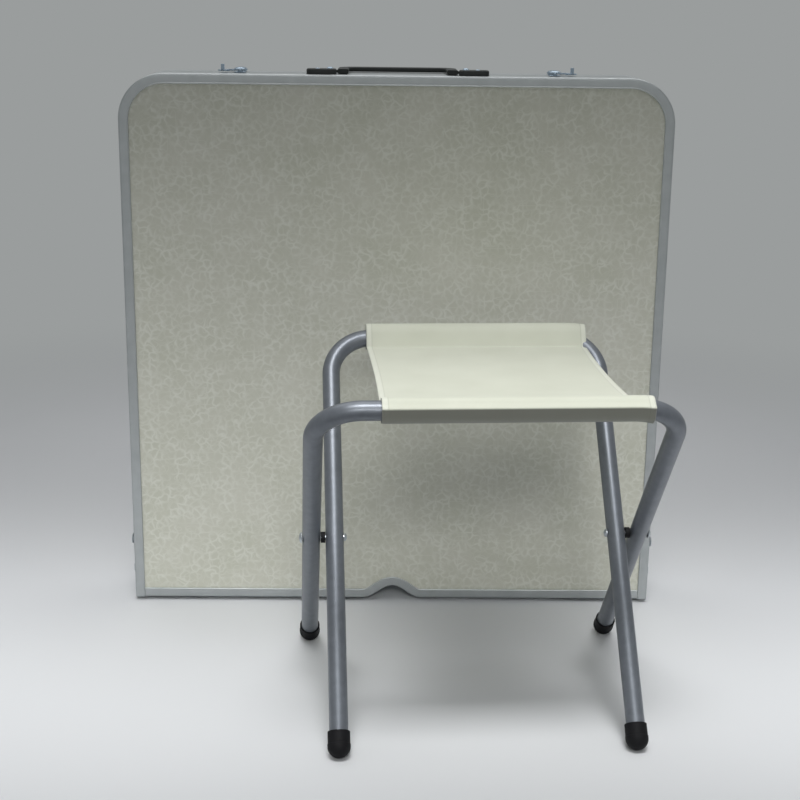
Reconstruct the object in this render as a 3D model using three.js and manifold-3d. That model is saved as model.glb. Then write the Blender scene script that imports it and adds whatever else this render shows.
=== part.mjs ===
// Folding picnic table that closes into a suitcase, with one folding stool.
// Millimetres, +Z up. The closed case stands on its hinge edge, its front face looks along -Y,
// and the open stool stands in front of it. The origin is the middle of the set's footprint.
import * as THREE from 'three';
import { mergeVertices } from 'three/addons/utils/BufferGeometryUtils.js';
import Module from 'manifold-3d';

const wasm = await Module();
wasm.setup();

// Case
const boardWidth = 600;
const boardHeight = 600;
const trayDepth = 35;
const cornerRadius = 50;
const clearance = 0.3;
const overrun = 2;

// Aluminium rail profile
const railWall = 1.5;
const lipWidth = 11;
const seatLipWidth = 9;
const edgeFlangeWidth = 8;
const centreFlangeWidth = 16;
const edgeRound = 2;
const beadWidth = 1.2;
const beadHeight = 0.35;
const beadTopShare = 0.5;

// Board
const panelThickness = 4;
const panelInset = 2.5;
const notchWidth = 66;
const notchDepth = 15;

// Hinges
const barrelRadius = 4;
const hingePinRadius = 1.5;
const hingePinHeadRadius = 2.6;
const hingePinHeadHeight = 1;
const hingeStandoff = 0.2;
const leafThickness = 1.2;
const leafLength = 88;
const hingeInset = 48;

// Carrying handle
const handleArmOffset = 59;
const handleReach = 50;
const handlePivotSetback = 13;
const handleThickness = 5;
const handleWidth = 12;
const handleCorner = 14;
const handleRoundShare = 0.4;
const handlePinRadius = 1.5;
const handlePinLength = 8;
const handlePivotEnd = 2;
const handlePivotRise = 3;
const handleSideGap = 0.9;
const mountLength = 32;
const mountWidth = 18;
const mountHeight = 5.6;
const mountCorner = 5;
const capRadius = 3.5;
const capHeight = 2.2;
const capInset = 7;
const screwRadius = 2.4;
const screwHeight = 0.9;
const screwInset = 20;
const domeRadius = 3.2;
const domeHeight = 1.8;

// Latches
const latchInset = 130;
const studSetback = 12;
const studRadius = 6.5;
const studBaseHeight = 1;
const studNeckRadius = 2.2;
const studHeadHeight = 2.4;
const hookThickness = 1.5;
const hookHalfWidth = 6;
const hookBossRadius = 5;
const hookRunClearance = 0.4;
const hookReachPastStud = 9;
const hookTabWidth = 4;
const hookTabHeight = 7.5;
const hookSwing = THREE.MathUtils.degToRad(35);
const slotPlay = 1.3;

// Side bolts
const boltWidth = 9;
const boltThickness = 1;
const boltFoot = 13;
const boltLength = 62;
const knobRadius = 6;
const knobHeight = 4.2;
const knobBelowTop = 9;
const knobNeckShare = 0.7;
const knobNeckHeightShare = 0.4;
const knobRimHeightShare = 0.6;
const guideWall = 0.8;
const guideFoot = 4;
const guideLength = 8;
const guideHeight = 32;
const keeperLength = 6;
const keeperHeight = 8;

// Leg frames
const legDrop = 33.2;
const frontLegInset = 37;
const rearLegInset = 67;
const legRadius = 10;
const legWall = 1.2;
const legTubeLength = 300;
const legTopOverhang = 6.5;
const legSetback = 14.5;
const crossbarFromTubeEnd = 23.5;
const crossbarRadius = 8;
const innerLegRadius = 8.5;
const innerLegStart = 125;
const footLength = 22;
const footEndWall = 4;
const legReach = 420;
const legPinRadius = 3;
const bracketWall = 1.5;
const bracketSidePlay = 0.5;
const bracketEarHeight = 7;
const bracketEarRadius = 9;
const bracketCorner = 3;

// Folding stays
const stayOnLeg = 150;
const stayOnTray = 235;
const linkWidth = 14;
const linkThickness = 2;
const linkPinRadius = 2.5;

// Stool
const stoolOffsetX = 80;
const stoolGap = 227;
const stoolYaw = THREE.MathUtils.degToRad(3.5);
const stoolHalfAngle = THREE.MathUtils.degToRad(39.4);
const stoolTubeRadius = 9;
const stoolTubeWall = 1;
const outerLegSpacing = 328;
const frameGap = 5;
const outerBend = 43;
const innerBend = 42;
const pivotToBar = 219;
const pivotToFoot = 205;
const stoolFootRadius = 11;
const stoolFootLength = 25;
const stoolBoltRadius = 2.5;
const stoolBoltHeadRadius = 5.5;
const stoolBoltHeadHeight = 3;
const stoolNutRadius = 4.2;
const stoolSpacerRadius = 5.5;

// Seat sling
const outerHemLeftInset = 58.5;
const outerHemRightInset = 28.5;
const innerHemLeftInset = 37;
const innerHemRightInset = 12;
const hemRadius = 11.6;
const hemWall = 1.8;
const hemTopFollowShare = 0.15;
const slingThickness = 1.6;
const slingSag = 14;
const slingSideDrawIn = 6;

// Facets
const tubeSides = 12;
const smallSides = 8;
const stoolSides = 16;
const bendSteps = 6;
const notchSteps = 12;
const slingSteps = 10;
const domeSteps = 3;

// Materials
const finish = (color, roughness, metalness) =>
  new THREE.MeshStandardMaterial({ color, roughness, metalness });
const boardFinish = finish(0xb4b3a2, 0.55, 0);
const railFinish = finish(0xa3a8a8, 0.38, 0.9);
const steelFinish = finish(0xb9bcbf, 0.35, 0.95);
const zincFinish = finish(0x9aa3ad, 0.4, 0.9);
const tubeFinish = finish(0x8b93a0, 0.35, 0.6);
const clothFinish = finish(0xd0d2be, 0.9, 0);
const rubberFinish = finish(0x1b1b20, 0.7, 0);
const handleFinish = finish(0x3c413e, 0.6, 0);

// Closed meshes from rings of points
const signedVolume = (positions, index) => {
  const [a, b, c] = [new THREE.Vector3(), new THREE.Vector3(), new THREE.Vector3()];
  let total = 0;
  for (let i = 0; i < index.length; i += 3) {
    a.fromArray(positions, index[i] * 3);
    b.fromArray(positions, index[i + 1] * 3);
    c.fromArray(positions, index[i + 2] * 3);
    total += a.dot(b.cross(c));
  }
  return total;
};

// Sweeps a flat section, with holes, through stations; place gives the point of a section point
const loft = (contour, holes, stations, place) => {
  const loops = [contour, ...holes];
  const section = loops.flat();
  const positions = [];
  for (let station = 0; station < stations; station++) {
    for (const point of section) positions.push(...place(station, point).toArray());
  }
  const index = [];
  const count = section.length;
  let start = 0;
  for (const loop of loops) {
    const clockwise = THREE.ShapeUtils.isClockWise(loop);
    const inward = loop === contour ? clockwise : !clockwise;
    for (let station = 0; station < stations - 1; station++) {
      for (let i = 0; i < loop.length; i++) {
        const a = station * count + start + i;
        const b = station * count + start + (i + 1) % loop.length;
        const quad = [a, b, b + count, a, b + count, a + count];
        index.push(...(inward ? quad.reverse() : quad));
      }
    }
    start += loop.length;
  }
  const faces = THREE.ShapeUtils.triangulateShape(contour, holes);
  const last = (stations - 1) * count;
  for (const [i, j, k] of faces) {
    const turned = THREE.ShapeUtils.isClockWise([section[i], section[j], section[k]]);
    const [p, q, r] = turned ? [i, k, j] : [i, j, k];
    index.push(r, q, p, last + p, last + q, last + r);
  }
  if (signedVolume(positions, index) < 0) index.reverse();
  const geometry = new THREE.BufferGeometry();
  geometry.setAttribute('position', new THREE.Float32BufferAttribute(positions, 3));
  geometry.setIndex(index);
  return geometry;
};

const point2 = (x, y) => new THREE.Vector2(x, y);

const circle = (radius, sides, x = 0, y = 0) => Array.from({ length: sides }, (_, i) => {
  const angle = (2 * Math.PI * i) / sides;
  return point2(x + radius * Math.cos(angle), y + radius * Math.sin(angle));
});

const arc = (x, y, radius, from, to, steps) => Array.from({ length: steps + 1 }, (_, i) => {
  const angle = from + ((to - from) * i) / steps;
  return point2(x + radius * Math.cos(angle), y + radius * Math.sin(angle));
});

// Moves a line of points sideways, to the right of its direction, with mitred corners
const mitres = (path, closed = false) => path.map((point, i) => {
  const before = path[closed ? (i + path.length - 1) % path.length : Math.max(i - 1, 0)];
  const after = path[closed ? (i + 1) % path.length : Math.min(i + 1, path.length - 1)];
  const into = point.distanceTo(before) > 0 ? point.clone().sub(before).normalize() : null;
  const out = after.distanceTo(point) > 0 ? after.clone().sub(point).normalize() : null;
  const first = into ?? out;
  const second = out ?? into;
  const normal = point2(first.y + second.y, -first.x - second.x).normalize();
  return normal.divideScalar(normal.dot(point2(second.y, -second.x)));
});

const offsetPath = (path, distance, closed) => {
  const sideways = mitres(path, closed);
  return path.map((point, i) => point.clone().addScaledVector(sideways[i], distance));
};

// Sweeps a section along a path in the XZ plane; the section's second axis runs along +Y
const sweep = (path, contour, holes = []) => {
  const sideways = mitres(path);
  return loft(contour, holes, path.length, (station, point) => {
    const place = path[station].clone().addScaledVector(sideways[station], point.x);
    return new THREE.Vector3(place.x, point.y, place.y);
  });
};

// A plate of a given outline between two levels, the outline lying across the named axis
const plate = (outline, low, high, axis, holes = []) => loft(outline, holes, 2, (station, point) => {
  const level = station === 0 ? low : high;
  if (axis === 'x') return new THREE.Vector3(level, point.x, point.y);
  if (axis === 'y') return new THREE.Vector3(point.x, level, point.y);
  return new THREE.Vector3(point.x, point.y, level);
});

const rod = (radius, low, high, axis, x = 0, y = 0, sides = smallSides) =>
  plate(circle(radius, sides, x, y), low, high, axis);

const rectangle = (x, y, width, height) => [
  point2(x - width / 2, y - height / 2),
  point2(x + width / 2, y - height / 2),
  point2(x + width / 2, y + height / 2),
  point2(x - width / 2, y + height / 2),
];

const roundedRectangle = (x, y, width, height, radius, steps = 4) => {
  const quarter = Math.PI / 2;
  const corners = [[1, 1], [-1, 1], [-1, -1], [1, -1]];
  return corners.flatMap(([sx, sy], i) => {
    const centre = [x + sx * (width / 2 - radius), y + sy * (height / 2 - radius)];
    return arc(...centre, radius, i * quarter, (i + 1) * quarter, steps);
  });
};

// Merges shared corners, drops flat triangles and turns the faces outwards
const tidied = (geometry) => {
  const bare = geometry.clone();
  bare.deleteAttribute('normal');
  bare.deleteAttribute('uv');
  const merged = mergeVertices(bare);
  const corners = merged.index.array;
  const kept = [];
  for (let i = 0; i < corners.length; i += 3) {
    const [a, b, c] = corners.slice(i, i + 3);
    if (a !== b && b !== c && c !== a) kept.push(a, b, c);
  }
  if (signedVolume(merged.attributes.position.array, kept) < 0) kept.reverse();
  merged.setIndex(kept);
  return merged;
};

// Turned pieces: a profile of radius and height pairs, which starts and ends on the axis
const turned = (profile, sides, axis = 'z') => {
  const line = profile.map(([radius, height]) => point2(radius, height));
  const geometry = new THREE.LatheGeometry(line, sides);
  geometry.rotateX(Math.PI / 2);
  if (axis === 'x') geometry.rotateY(Math.PI / 2);
  return tidied(geometry);
};

const dome = (radius, height, base, steps = domeSteps) => Array.from({ length: steps + 1 }, (_, i) => {
  const angle = ((Math.PI / 2) * i) / steps;
  return [i === steps ? 0 : radius * Math.cos(angle), base + height * Math.sin(angle)];
});

// Joins and cuts
const toSolid = (geometry) => {
  const closed = tidied(geometry);
  return new wasm.Manifold(new wasm.Mesh({
    numProp: 3,
    vertProperties: new Float32Array(closed.attributes.position.array),
    triVerts: new Uint32Array(closed.index.array),
  }));
};

const toGeometry = (solid) => {
  const mesh = solid.getMesh();
  const geometry = new THREE.BufferGeometry();
  geometry.setAttribute('position', new THREE.BufferAttribute(mesh.vertProperties, mesh.numProp));
  geometry.setIndex(new THREE.BufferAttribute(mesh.triVerts, 1));
  return geometry;
};

const join = (...geometries) => toGeometry(geometries.map(toSolid).reduce((all, solid) => all.add(solid)));

const cut = (geometry, ...tools) =>
  toGeometry(tools.map(toSolid).reduce((rest, tool) => rest.subtract(tool), toSolid(geometry)));

const addPiece = (parent, name, geometry, material, x = 0, y = 0, z = 0) => {
  const mesh = new THREE.Mesh(geometry, material);
  mesh.name = name;
  mesh.position.set(x, y, z);
  parent.add(mesh);
  return mesh;
};

const set = new THREE.Group();
const sides = [['left', -1], ['right', 1]];

// Places shared by both halves; y is 0 at the parting plane and -trayDepth at the outer face
const hingeHeight = barrelRadius;
const bottomHeight = barrelRadius + hingeStandoff;
const topHeight = bottomHeight + boardHeight;
const leafGap = clearance / 2;
const rimLevel = -(leafGap + leafThickness + clearance);
const railDepth = trayDepth + rimLevel;
const panelFront = railWall + clearance;
const panelBack = panelFront + panelThickness;
const seatLip = panelBack + clearance;
const trayFloor = -trayDepth + panelBack;
const halfWidth = boardWidth / 2;
const middleDepth = -trayDepth / 2;
const hingeOffset = halfWidth - hingeInset;
const latchOffset = halfWidth - latchInset;
const frontLegOffset = halfWidth - frontLegInset;
const rearLegOffset = halfWidth - rearLegInset;
const crossbarDistance = legTubeLength - legTopOverhang - crossbarFromTubeEnd;
const innerLegEnd = legReach - footEndWall;

const railSection = (flange) => [
  point2(0, edgeRound),
  point2(edgeRound * (1 - Math.SQRT1_2), edgeRound * (1 - Math.SQRT1_2)),
  point2(edgeRound, 0),
  point2(lipWidth - beadWidth, 0),
  point2(lipWidth - beadWidth * (1 + beadTopShare) / 2, -beadHeight),
  point2(lipWidth - beadWidth * (1 - beadTopShare) / 2, -beadHeight),
  point2(lipWidth, 0),
  point2(lipWidth, railWall),
  point2(railWall, railWall),
  point2(railWall, seatLip),
  point2(seatLipWidth, seatLip),
  point2(seatLipWidth, seatLip + railWall),
  point2(railWall, seatLip + railWall),
  point2(railWall, railDepth - railWall),
  point2(flange, railDepth - railWall),
  point2(flange, railDepth),
  point2(0, railDepth),
].map((point) => point2(point.x, point.y - trayDepth));

const quarterTurn = Math.PI / 2;
const cornerCentre = halfWidth - cornerRadius;
const cornerLevel = topHeight - cornerRadius;
const edgePath = [
  point2(-halfWidth, bottomHeight),
  ...arc(-cornerCentre, cornerLevel, cornerRadius, 2 * quarterTurn, quarterTurn, bendSteps),
  ...arc(cornerCentre, cornerLevel, cornerRadius, quarterTurn, 0, bendSteps),
  point2(halfWidth, bottomHeight),
];
const notchPath = Array.from({ length: notchSteps + 1 }, (_, i) => {
  const x = notchWidth * (0.5 - i / notchSteps);
  return point2(x, bottomHeight + (notchDepth / 2) * (1 + Math.cos((2 * Math.PI * x) / notchWidth)));
});
const centreEnd = halfWidth - lipWidth - clearance;
const centrePath = [point2(centreEnd, bottomHeight), ...notchPath, point2(-centreEnd, bottomHeight)];
const panelOutline = offsetPath([...edgePath, ...notchPath], panelInset, true);

// Both halves of the shell are cut back round the hinge barrels
const barrelPockets = (rail) => cut(rail, ...sides.map(([, side]) =>
  rod(barrelRadius + clearance, side * hingeOffset - leafLength / 2 - overrun,
    side * hingeOffset + leafLength / 2 + overrun, 'x', 0, hingeHeight, tubeSides)));

const knuckleLength = leafLength / 3;

// A hinge leaf: a plate on the rim with its own knuckles and room for the other leaf's
const hingeLeaf = (ownKnuckles, otherKnuckles) => {
  const span = (i, play) => [(i - 1.5) * knuckleLength + play, (i - 0.5) * knuckleLength - play];
  const leaf = plate(
    rectangle(0, (hingeHeight + bottomHeight + centreFlangeWidth) / 2, leafLength,
      bottomHeight + centreFlangeWidth - hingeHeight),
    -leafGap - leafThickness, -leafGap, 'y');
  const knuckles = ownKnuckles.map((i) =>
    rod(barrelRadius, ...span(i, clearance / 2), 'x', 0, hingeHeight, tubeSides));
  const rooms = otherKnuckles.map((i) =>
    rod(barrelRadius + clearance, ...span(i, -clearance / 2), 'x', 0, hingeHeight, tubeSides));
  const bore = rod(hingePinRadius + clearance, -leafLength, leafLength, 'x', 0, hingeHeight);
  return cut(join(cut(leaf, ...rooms), ...knuckles), bore);
};

// Leg bracket: a base strip on the board, two ears with a riveted pin, and one ear for the stay
const legBracket = (outward) => {
  const earInside = legRadius + bracketSidePlay;
  const earOutside = earInside + bracketWall;
  const stayInside = legRadius + 3 * clearance + 2 * linkThickness;
  const baseLow = trayFloor + clearance;
  const baseHigh = baseLow + bracketWall;
  const earTop = legSetback - bracketEarHeight;
  const ear = (near, far, z) => {
    const reach = -earTop - bracketEarRadius;
    const outline = [
      ...arc(reach, z, bracketEarRadius, -quarterTurn, quarterTurn, bendSteps),
      point2(baseLow, z + bracketEarRadius),
      point2(baseLow, z - bracketEarRadius),
    ];
    return plate(outline, Math.min(near, far), Math.max(near, far), 'x');
  };
  const stayOutside = stayInside + bracketWall;
  const length = stayOnTray + 2 * bracketEarRadius;
  const width = earOutside + stayOutside;
  const base = plate(
    roundedRectangle(outward * (width / 2 - earOutside), bracketEarRadius - length / 2, width, length,
      bracketCorner),
    baseLow, baseHigh, 'y');
  const pinEnd = earInside + bracketWall / 2;
  const pin = rod(legPinRadius, -pinEnd, pinEnd, 'x', -legSetback, 0);
  const stayPinEnd = stayInside - clearance - linkThickness;
  const stayPinReach = [outward * stayPinEnd, outward * (stayInside + bracketWall / 2)];
  const stayPin = rod(linkPinRadius, Math.min(...stayPinReach), Math.max(...stayPinReach), 'x',
    -legSetback, -stayOnTray);
  return join(base, ear(-earOutside, -earInside, 0), ear(earInside, earOutside, 0), pin,
    ear(outward * stayInside, outward * stayOutside, -stayOnTray), stayPin);
};

// Leg frame: two tubes open at their lower ends, a crossbar coped into them, and the stay pins
const legFrame = (offset) => {
  const tubeTop = legTopOverhang;
  const tubeLow = legTopOverhang - legTubeLength;
  const bore = legRadius - legWall;
  const parts = sides.map(([, side]) => rod(legRadius, tubeLow, tubeTop, 'z', side * offset, 0, tubeSides));
  const crossbar = rod(crossbarRadius, -offset, offset, 'x', 0, -crossbarDistance, tubeSides);
  const pinReach = legRadius + clearance + linkThickness;
  const pins = sides.map(([, side]) => {
    const reach = [side * (offset + bore + legWall / 2), side * (offset + pinReach)];
    return rod(linkPinRadius, Math.min(...reach), Math.max(...reach), 'x', 0, -stayOnLeg);
  });
  const bores = sides.map(([, side]) =>
    rod(bore, tubeLow - overrun, tubeTop + overrun, 'z', side * offset, 0, tubeSides));
  const pinHoles = sides.map(([, side]) => rod(legPinRadius + clearance,
    side * offset - legRadius - overrun, side * offset + legRadius + overrun, 'x', 0, 0));
  const crossBore = rod(crossbarRadius - legWall, -offset, offset, 'x', 0, -crossbarDistance, tubeSides);
  return cut(join(...parts, crossbar, ...pins), ...bores, ...pinHoles, crossBore);
};

const innerLeg = () => plate(circle(innerLegRadius, tubeSides), -innerLegEnd, -innerLegStart, 'z',
  [circle(innerLegRadius - legWall, tubeSides).reverse()]);

const legFoot = () => turned([
  [0, -legReach],
  [legRadius - edgeRound, -legReach],
  [legRadius, -legReach + edgeRound],
  [legRadius, footLength - legReach],
  [innerLegRadius + clearance, footLength - legReach],
  [innerLegRadius + clearance, -innerLegEnd - clearance],
  [0, -innerLegEnd - clearance],
], tubeSides);

// A flat stay link from its pivot at the origin to its knuckle above
const stayLink = (length, low, high, rivet) => {
  const half = linkWidth / 2;
  const outline = [
    ...arc(0, 0, half, -2 * quarterTurn, 0, bendSteps),
    ...arc(0, length, half, 0, 2 * quarterTurn, bendSteps),
  ];
  const strip = plate(outline, low, high, 'x', [circle(linkPinRadius + clearance, smallSides).reverse()]);
  if (!rivet) return strip;
  const profile = [[0, -clearance], [domeRadius, -clearance], ...dome(domeRadius, domeHeight, 0)];
  const head = turned(profile, smallSides, 'x');
  if (rivet < 0) head.rotateZ(Math.PI);
  head.translate(rivet < 0 ? low : high, 0, length);
  return join(strip, head);
};

// The stay is folded flat along the tray when closed and straight when the leg stands square
const stayClosed = stayOnTray - stayOnLeg;
const stayOpen = Math.hypot(stayOnTray, stayOnLeg);
const trayLinkLength = (stayOpen + stayClosed) / 2;
const legLinkLength = (stayOpen - stayClosed) / 2;
const pivotHeight = topHeight - legDrop;

const buildHalf = (half, turn, legOffset, ownKnuckles, otherKnuckles) => {
  const tray = new THREE.Group();
  tray.rotation.z = turn;
  set.add(tray);
  const facing = turn === 0 ? 1 : -1;
  const panel = plate(panelOutline, panelFront - trayDepth, panelBack - trayDepth, 'y');
  const edgeRail = barrelPockets(sweep(edgePath, railSection(edgeFlangeWidth)));
  const centreRail = barrelPockets(sweep(centrePath, railSection(centreFlangeWidth)));
  addPiece(tray, `${half}_panel`, panel, boardFinish);
  addPiece(tray, `${half}_edge_rail`, edgeRail, railFinish);
  addPiece(tray, `${half}_centre_rail`, centreRail, railFinish);
  addPiece(tray, `${half}_leg_frame`, legFrame(legOffset), tubeFinish, 0, -legSetback, pivotHeight);
  for (const [name, worldSide] of sides) {
    const side = worldSide * facing;
    const add = (piece, geometry, material, y, z) =>
      addPiece(tray, `${half}_${piece}_${name}`, geometry, material, side * legOffset, y, z);
    const leaf = hingeLeaf(ownKnuckles, otherKnuckles);
    addPiece(tray, `${half}_hinge_leaf_${name}`, leaf, steelFinish, side * hingeOffset);
    add('leg_bracket', legBracket(side), steelFinish, 0, pivotHeight);
    add('inner_leg', innerLeg(), railFinish, -legSetback, pivotHeight);
    add('leg_foot', legFoot(), rubberFinish, -legSetback, pivotHeight);
    const legLinkNear = legRadius + clearance;
    const trayLinkNear = legLinkNear + linkThickness + clearance;
    const span = (near) => [side * near, side * (near + linkThickness)].sort((a, b) => a - b);
    const legLink = stayLink(legLinkLength, ...span(legLinkNear), 0);
    const trayLink = stayLink(trayLinkLength, ...span(trayLinkNear), side);
    add('stay_leg_link', legLink, steelFinish, -legSetback, pivotHeight - stayOnLeg);
    add('stay_tray_link', trayLink, steelFinish, -legSetback, pivotHeight - stayOnTray);
  }
  return tray;
};

const front = buildHalf('front', 0, frontLegOffset, [0, 2], [1]);
const rear = buildHalf('rear', Math.PI, rearLegOffset, [1], [0, 2]);

// Hinge pins, with a head at each end
for (const [name, side] of sides) {
  const half = leafLength / 2;
  const headBase = half + clearance;
  const head = dome(hingePinHeadRadius, hingePinHeadHeight, headBase);
  const mirrored = head.map(([radius, height]) => [radius, -height]).reverse();
  const shank = [[hingePinRadius, -headBase], [hingePinRadius, headBase]];
  const pin = turned([...mirrored, ...shank, ...head], smallSides, 'x');
  addPiece(front, `hinge_pin_${name}`, pin, steelFinish, side * hingeOffset, 0, hingeHeight);
}

// Handle mounts: a moulded block with a blind bore for the pin, a domed cap and a screw head
const mountLevel = topHeight + clearance;
const handleLevel = mountLevel + handlePivotRise;
const handlePivotY = -trayDepth + handlePivotSetback;
const handleMount = (outward) => {
  const inner = outward * (handleArmOffset + handleWidth / 2 + handleSideGap);
  const centre = inner + (outward * mountLength) / 2;
  const block = plate(roundedRectangle(centre, handlePivotY, mountLength, mountWidth, mountCorner),
    mountLevel, mountLevel + mountHeight, 'z');
  const head = (radius, height, inset) =>
    turned([[0, -clearance], [radius, -clearance], ...dome(radius, height, 0)], tubeSides)
      .translate(inner + outward * inset, handlePivotY, mountLevel + mountHeight);
  const boreReach = [inner - outward * overrun, inner + outward * (handlePinLength + clearance)];
  const bore = rod(handlePinRadius + clearance, Math.min(...boreReach), Math.max(...boreReach), 'x',
    handlePivotY, handleLevel);
  const cap = head(capRadius, capHeight, capInset);
  return cut(join(block, cap, head(screwRadius, screwHeight, screwInset)), bore);
};
for (const [name, side] of sides) addPiece(front, `handle_mount_${name}`, handleMount(side), handleFinish);

// Carrying handle: a flat bow that lies on the top edge and turns up on its two pins
const handleStart = handlePivotY - handlePivotEnd;
const handleEnd = handlePivotY + handleReach;
const bowCentre = [handleArmOffset - handleCorner, handleEnd - handleCorner];
const handlePath = [
  point2(-handleArmOffset, handleStart),
  ...arc(-bowCentre[0], bowCentre[1], handleCorner, Math.PI, quarterTurn, bendSteps),
  ...arc(...bowCentre, handleCorner, quarterTurn, 0, bendSteps),
  point2(handleArmOffset, handleStart),
];
const handleSideways = mitres(handlePath);
const handleRound = handleThickness * handleRoundShare;
const handleSection = roundedRectangle(0, 0, handleWidth, handleThickness, handleRound, domeSteps);
const handleBow = loft(handleSection, [], handlePath.length, (station, point) => {
  const place = handlePath[station].clone().addScaledVector(handleSideways[station], point.x);
  return new THREE.Vector3(place.x, place.y, handleLevel + point.y);
});
const handlePins = sides.map(([, side]) => {
  const tip = handleArmOffset + handleWidth / 2 + handleSideGap + handlePinLength;
  const reach = [side * handleArmOffset, side * tip];
  return rod(handlePinRadius, Math.min(...reach), Math.max(...reach), 'x', handlePivotY, handleLevel);
});
addPiece(set, 'carry_handle', join(handleBow, ...handlePins), handleFinish);

// Latches: a stud on the front half and a hook on the rear half, shown swung clear
const studLevels = {
  base: topHeight + clearance + studBaseHeight,
  head: topHeight + clearance + studBaseHeight + hookThickness + 2 * hookRunClearance,
};
const latchStud = turned([
  [0, topHeight + clearance],
  [studRadius, topHeight + clearance],
  [studRadius, studLevels.base],
  [studNeckRadius, studLevels.base],
  [studNeckRadius, studLevels.head],
  [studRadius, studLevels.head],
  ...dome(studRadius, studHeadHeight, studLevels.head + clearance),
], tubeSides);
const studDistance = 2 * studSetback;
const slotHalf = studNeckRadius + slotPlay;
const hookReach = studDistance + hookReachPastStud;
const hookOutline = [
  ...arc(0, 0, hookHalfWidth, Math.PI, 0, bendSteps).map((point) => point2(point.x, -point.y)),
  point2(hookHalfWidth, studDistance - slotHalf),
  ...arc(0, studDistance, slotHalf, -quarterTurn, -3 * quarterTurn, bendSteps),
  point2(hookHalfWidth, studDistance + slotHalf),
  point2(hookHalfWidth, hookReach),
  point2(-hookHalfWidth, hookReach),
];
const latchHook = (side) => {
  const low = studLevels.base + hookRunClearance;
  const towardStud = -side;
  const place = (outline) => outline.map((point) => point2(towardStud * point.x, -point.y));
  const strip = plate(place(hookOutline), low, low + hookThickness, 'z');
  const tab = plate(place(rectangle(0, hookReach - hookThickness / 2, hookTabWidth, hookThickness)),
    low, low + hookTabHeight, 'z');
  const boss = turned([
    [0, topHeight + clearance],
    [hookBossRadius, topHeight + clearance],
    [hookBossRadius, low + hookThickness],
    ...dome(hookBossRadius, domeHeight, low + hookThickness + clearance),
  ], tubeSides);
  const hook = join(strip, tab, boss);
  hook.rotateZ(side * hookSwing);
  return hook;
};
for (const [name, side] of sides) {
  addPiece(front, `latch_stud_${name}`, latchStud, zincFinish, side * latchOffset, -studSetback);
  addPiece(set, `latch_hook_${name}`, latchHook(side), zincFinish, side * latchOffset, studSetback);
}

// Side bolts: a strip with a thumb knob in a loop, and the keeper loop on the rear half
const loopOutline = (side) => {
  const wall = halfWidth + clearance;
  const innerHalf = boltWidth / 2 + clearance;
  const outerHalf = innerHalf + guideWall;
  const roof = wall + boltThickness + clearance;
  const footEnd = outerHalf + guideFoot;
  const profile = [
    [-footEnd, wall], [-innerHalf, wall], [-innerHalf, roof],
    [innerHalf, roof], [innerHalf, wall], [footEnd, wall],
    [footEnd, wall + guideWall], [outerHalf, wall + guideWall], [outerHalf, roof + guideWall],
    [-outerHalf, roof + guideWall], [-outerHalf, wall + guideWall], [-footEnd, wall + guideWall],
  ];
  return profile.map(([y, x]) => point2(side * x, middleDepth + y));
};
const sideBolt = (side) => {
  const low = bottomHeight + boltFoot;
  const half = boltWidth / 2;
  const outline = [
    ...arc(middleDepth, low + half, half, -Math.PI, 0, bendSteps),
    ...arc(middleDepth, low + boltLength - half, half, 0, Math.PI, bendSteps),
  ];
  const inside = halfWidth + clearance;
  const reach = [side * inside, side * (inside + boltThickness)];
  const strip = plate(outline, Math.min(...reach), Math.max(...reach), 'x');
  const knob = turned([
    [0, 0],
    [knobRadius * knobNeckShare, 0],
    [knobRadius * knobNeckShare, knobHeight * knobNeckHeightShare],
    [knobRadius, knobHeight * knobRimHeightShare],
    ...dome(knobRadius, knobHeight * knobNeckHeightShare, knobHeight * knobRimHeightShare).slice(1),
  ], tubeSides, 'x');
  if (side < 0) knob.rotateZ(Math.PI);
  knob.translate(side * (inside + boltThickness / 2), middleDepth, low + boltLength - knobBelowTop);
  return join(strip, knob);
};
for (const [name, side] of sides) {
  const guideLow = bottomHeight + guideHeight - guideLength / 2;
  const keeperLow = bottomHeight + keeperHeight - keeperLength / 2;
  const guide = plate(loopOutline(side), guideLow, guideLow + guideLength, 'z');
  const keeper = plate(loopOutline(-side), keeperLow, keeperLow + keeperLength, 'z');
  addPiece(front, `bolt_guide_${name}`, guide, steelFinish);
  addPiece(set, `side_bolt_${name}`, sideBolt(side), steelFinish);
  addPiece(rear, `bolt_keeper_${name}`, keeper, steelFinish);
}

// Stool frames: bent tubes in their own planes, the pivot at the local origin
const pivotLevel = stoolFootRadius + pivotToFoot * Math.cos(stoolHalfAngle);
const stool = new THREE.Group();
stool.position.set(stoolOffsetX, -trayDepth - stoolGap, pivotLevel);
stool.rotation.z = stoolYaw;
set.add(stool);
const tubeEnd = -pivotToFoot + footEndWall;
const stoolPath = (spacing, bend) => [
  point2(-spacing / 2, tubeEnd),
  ...arc(-spacing / 2 + bend, pivotToBar - bend, bend, Math.PI, quarterTurn, bendSteps),
  ...arc(spacing / 2 - bend, pivotToBar - bend, bend, quarterTurn, 0, bendSteps),
  point2(spacing / 2, tubeEnd),
];
const innerLegSpacing = outerLegSpacing - 2 * (2 * stoolTubeRadius + frameGap);
const stoolFrame = (spacing, bend) => {
  const tube = sweep(stoolPath(spacing, bend), circle(stoolTubeRadius, stoolSides),
    [circle(stoolTubeRadius - stoolTubeWall, stoolSides).reverse()]);
  return cut(tube, rod(stoolBoltRadius + clearance, -outerLegSpacing, outerLegSpacing, 'x', 0, 0));
};
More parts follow.
